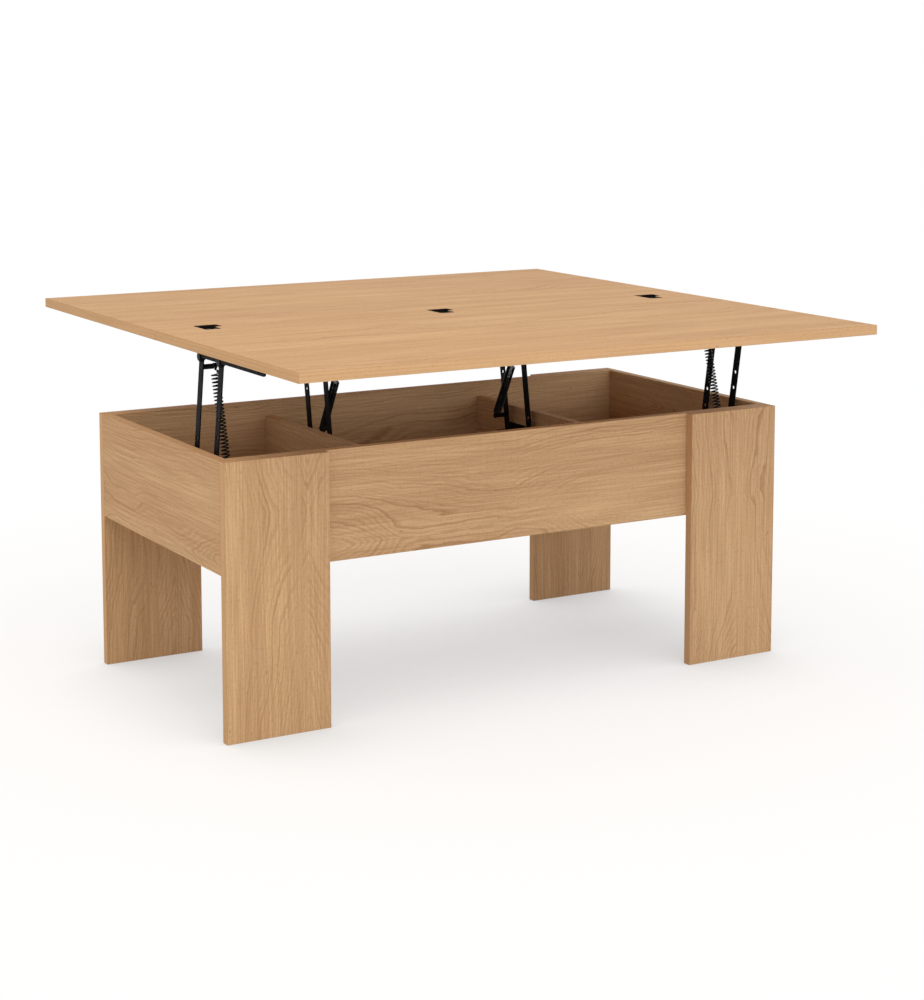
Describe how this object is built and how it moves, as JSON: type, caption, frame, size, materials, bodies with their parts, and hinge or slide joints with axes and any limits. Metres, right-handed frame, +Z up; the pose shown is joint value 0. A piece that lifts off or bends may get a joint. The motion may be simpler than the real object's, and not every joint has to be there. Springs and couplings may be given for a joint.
{
  "type": "lift top coffee table",
  "caption": "Rectangular board-legged coffee table whose divided storage box is covered by a folding top that rises on sprung parallel-arm lifts.",
  "frame": {"origin": "on the floor, under the middle of the box", "axes": "+X along the length, +Y to the back (the side the rear leaf unfolds to), +Z up"},
  "size_m": [1, 1, 0.586],
  "materials": {
    "top_board": "light oak decor on particle board, satin",
    "leg_board": "light oak decor on particle board, satin",
    "rail_board": "light oak decor on particle board, satin",
    "end_board": "light oak decor on particle board, satin",
    "inner_board": "light oak decor on particle board, satin",
    "dowel_wood": "plain beech",
    "screw_steel": "black zinc plated steel",
    "hinge_black": "black powder coat",
    "lift_black": "black powder coat",
    "pin_black": "black plated steel",
    "spring_black": "black spring steel"
  },
  "bodies": {
    "box": {"front_left_leg": "leg_board", "front_right_leg": "leg_board", "back_left_leg": "leg_board", "back_right_leg": "leg_board", "front_rail": "rail_board", "back_rail": "rail_board", "left_end_panel": "end_board", "right_end_panel": "end_board", "left_partition": "inner_board", "right_partition": "inner_board", "bottom_panel": "inner_board", "dowels": "dowel_wood", "leg_screws": "screw_steel", "base_plate_screws": "screw_steel", "lower_pivot_pins": "pin_black", "stop_pegs": "pin_black", "outer_left_base_plate": "lift_black", "outer_right_base_plate": "lift_black", "inner_left_base_plate": "lift_black", "inner_right_base_plate": "lift_black"},
    "front_leaf_body": {"front_leaf": "top_board", "front_hinge_plates": "hinge_black", "front_hinge_screws": "hinge_black", "hinge_pins": "hinge_black", "bar_screws": "screw_steel", "outer_upper_pins": "pin_black", "outer_left_bar": "lift_black", "outer_right_bar": "lift_black"},
    "rear_leaf_body": {"rear_leaf": "top_board", "rear_hinge_plates": "hinge_black", "rear_hinge_screws": "hinge_black"},
    "outer_left_near_arm_body": {"outer_left_near_arm": "lift_black", "outer_left_upper_peg": "pin_black"},
    "outer_left_far_arm_body": {"outer_left_far_arm": "lift_black", "outer_left_lower_peg": "pin_black"},
    "outer_left_spring_body": {"outer_left_spring": "spring_black"},
    "outer_left_spring_hook_body": {"outer_left_spring_hook": "spring_black"},
    "outer_right_near_arm_body": {"outer_right_near_arm": "lift_black", "outer_right_upper_peg": "pin_black"},
    "outer_right_far_arm_body": {"outer_right_far_arm": "lift_black", "outer_right_lower_peg": "pin_black"},
    "outer_right_spring_body": {"outer_right_spring": "spring_black"},
    "outer_right_spring_hook_body": {"outer_right_spring_hook": "spring_black"},
    "inner_left_near_arm_body": {"inner_left_near_arm": "lift_black", "inner_left_upper_peg": "pin_black"},
    "inner_left_far_arm_body": {"inner_left_far_arm": "lift_black", "inner_left_lower_peg": "pin_black"},
    "inner_left_bar_body": {"inner_left_bar": "lift_black", "inner_left_upper_pins": "pin_black"},
    "inner_left_spring_body": {"inner_left_spring": "spring_black"},
    "inner_left_spring_hook_body": {"inner_left_spring_hook": "spring_black"},
    "inner_right_near_arm_body": {"inner_right_near_arm": "lift_black", "inner_right_upper_peg": "pin_black"},
    "inner_right_far_arm_body": {"inner_right_far_arm": "lift_black", "inner_right_lower_peg": "pin_black"},
    "inner_right_bar_body": {"inner_right_bar": "lift_black", "inner_right_upper_pins": "pin_black"},
    "inner_right_spring_body": {"inner_right_spring": "spring_black"},
    "inner_right_spring_hook_body": {"inner_right_spring_hook": "spring_black"}
  },
  "joints": [
    {"name": "lift", "type": "hinge", "parent": "box", "child": "outer_left_near_arm_body", "pos_m": [-0.474, -0.0795, 0.33399], "axis": [1, 0, 0], "range_deg": [-80.25, 0]},
    {"name": "outer_left_far_pivot", "type": "hinge", "parent": "box", "child": "outer_left_far_arm_body", "pos_m": [-0.474, -0.1515, 0.33399], "axis": [1, 0, 0], "range_deg": [-80.25, 0]},
    {"name": "front_leaf_level", "type": "hinge", "parent": "outer_left_near_arm_body", "child": "front_leaf_body", "pos_m": [-0.474, -0.1167, 0.5563], "axis": [1, 0, 0], "range_deg": [0, 80.25]},
    {"name": "outer_left_spring_swing", "type": "hinge", "parent": "outer_left_near_arm_body", "child": "outer_left_spring_body", "pos_m": [-0.453, -0.11398, 0.54003], "axis": [1, 0, 0], "range_deg": [0, 19.44]},
    {"name": "outer_left_spring_stretch", "type": "slide", "parent": "outer_left_spring_body", "child": "outer_left_spring_hook_body", "axis": [0, -0.2728, -0.9621], "range_m": [0, 0.06513], "deforming": ["outer_left_spring", "outer_left_spring_hook"]},
    {"name": "outer_right_near_pivot", "type": "hinge", "parent": "box", "child": "outer_right_near_arm_body", "pos_m": [0.474, -0.0795, 0.33399], "axis": [1, 0, 0], "range_deg": [-80.25, 0]},
    {"name": "outer_right_far_pivot", "type": "hinge", "parent": "box", "child": "outer_right_far_arm_body", "pos_m": [0.474, -0.1515, 0.33399], "axis": [1, 0, 0], "range_deg": [-80.25, 0]},
    {"name": "outer_right_spring_swing", "type": "hinge", "parent": "outer_right_near_arm_body", "child": "outer_right_spring_body", "pos_m": [0.453, -0.11398, 0.54003], "axis": [1, 0, 0], "range_deg": [0, 19.44]},
    {"name": "outer_right_spring_stretch", "type": "slide", "parent": "outer_right_spring_body", "child": "outer_right_spring_hook_body", "axis": [0, -0.2728, -0.9621], "range_m": [0, 0.06513], "deforming": ["outer_right_spring", "outer_right_spring_hook"]},
    {"name": "inner_left_near_pivot", "type": "hinge", "parent": "box", "child": "inner_left_near_arm_body", "pos_m": [-0.189, 0.021, 0.33399], "axis": [1, 0, 0], "range_deg": [0, 80.25]},
    {"name": "inner_left_far_pivot", "type": "hinge", "parent": "box", "child": "inner_left_far_arm_body", "pos_m": [-0.189, 0.093, 0.33399], "axis": [1, 0, 0], "range_deg": [0, 80.25]},
    {"name": "inner_left_bar_level", "type": "hinge", "parent": "inner_left_near_arm_body", "child": "inner_left_bar_body", "pos_m": [-0.189, 0.0582, 0.5563], "axis": [1, 0, 0], "range_deg": [-80.25, 0]},
    {"name": "inner_left_spring_swing", "type": "hinge", "parent": "inner_left_near_arm_body", "child": "inner_left_spring_body", "pos_m": [-0.168, 0.04566, 0.48134], "axis": [1, 0, 0], "range_deg": [-30.19, 0]},
    {"name": "inner_left_spring_stretch", "type": "slide", "parent": "inner_left_spring_body", "child": "inner_left_spring_hook_body", "axis": [0, 0.4789, -0.8779], "range_m": [0, 0.05698], "deforming": ["inner_left_spring", "inner_left_spring_hook"]},
    {"name": "inner_right_near_pivot", "type": "hinge", "parent": "box", "child": "inner_right_near_arm_body", "pos_m": [0.189, 0.021, 0.33399], "axis": [1, 0, 0], "range_deg": [0, 80.25]},
    {"name": "inner_right_far_pivot", "type": "hinge", "parent": "box", "child": "inner_right_far_arm_body", "pos_m": [0.189, 0.093, 0.33399], "axis": [1, 0, 0], "range_deg": [0, 80.25]},
    {"name": "inner_right_bar_level", "type": "hinge", "parent": "inner_right_near_arm_body", "child": "inner_right_bar_body", "pos_m": [0.189, 0.0582, 0.5563], "axis": [1, 0, 0], "range_deg": [-80.25, 0]},
    {"name": "inner_right_spring_swing", "type": "hinge", "parent": "inner_right_near_arm_body", "child": "inner_right_spring_body", "pos_m": [0.168, 0.04566, 0.48134], "axis": [1, 0, 0], "range_deg": [-30.19, 0]},
    {"name": "inner_right_spring_stretch", "type": "slide", "parent": "inner_right_spring_body", "child": "inner_right_spring_hook_body", "axis": [0, 0.4789, -0.8779], "range_m": [0, 0.05698], "deforming": ["inner_right_spring", "inner_right_spring_hook"]},
    {"name": "rear_leaf_fold", "type": "hinge", "parent": "front_leaf_body", "child": "rear_leaf_body", "pos_m": [0, 0, 0.58355], "axis": [1, 0, 0], "range_deg": [0, 180]}
  ],
  "couplings": [
    {"joint": "outer_left_far_pivot", "follows": "lift", "ratio": 1},
    {"joint": "front_leaf_level", "follows": "lift", "ratio": -1},
    {"joint": "outer_left_spring_swing", "follows": "lift", "ratio": -0.24219},
    {"joint": "outer_left_spring_stretch", "follows": "lift", "m_per_rad": -0.046494},
    {"joint": "outer_right_near_pivot", "follows": "lift", "ratio": 1},
    {"joint": "outer_right_far_pivot", "follows": "lift", "ratio": 1},
    {"joint": "outer_right_spring_swing", "follows": "lift", "ratio": -0.24219},
    {"joint": "outer_right_spring_stretch", "follows": "lift", "m_per_rad": -0.046494},
    {"joint": "inner_left_near_pivot", "follows": "lift", "ratio": -1},
    {"joint": "inner_left_far_pivot", "follows": "lift", "ratio": -1},
    {"joint": "inner_left_bar_level", "follows": "lift", "ratio": 1},
    {"joint": "inner_left_spring_swing", "follows": "lift", "ratio": 0.37612},
    {"joint": "inner_left_spring_stretch", "follows": "lift", "m_per_rad": -0.040676},
    {"joint": "inner_right_near_pivot", "follows": "lift", "ratio": -1},
    {"joint": "inner_right_far_pivot", "follows": "lift", "ratio": -1},
    {"joint": "inner_right_bar_level", "follows": "lift", "ratio": 1},
    {"joint": "inner_right_spring_swing", "follows": "lift", "ratio": 0.37612},
    {"joint": "inner_right_spring_stretch", "follows": "lift", "m_per_rad": -0.040676}
  ]
}
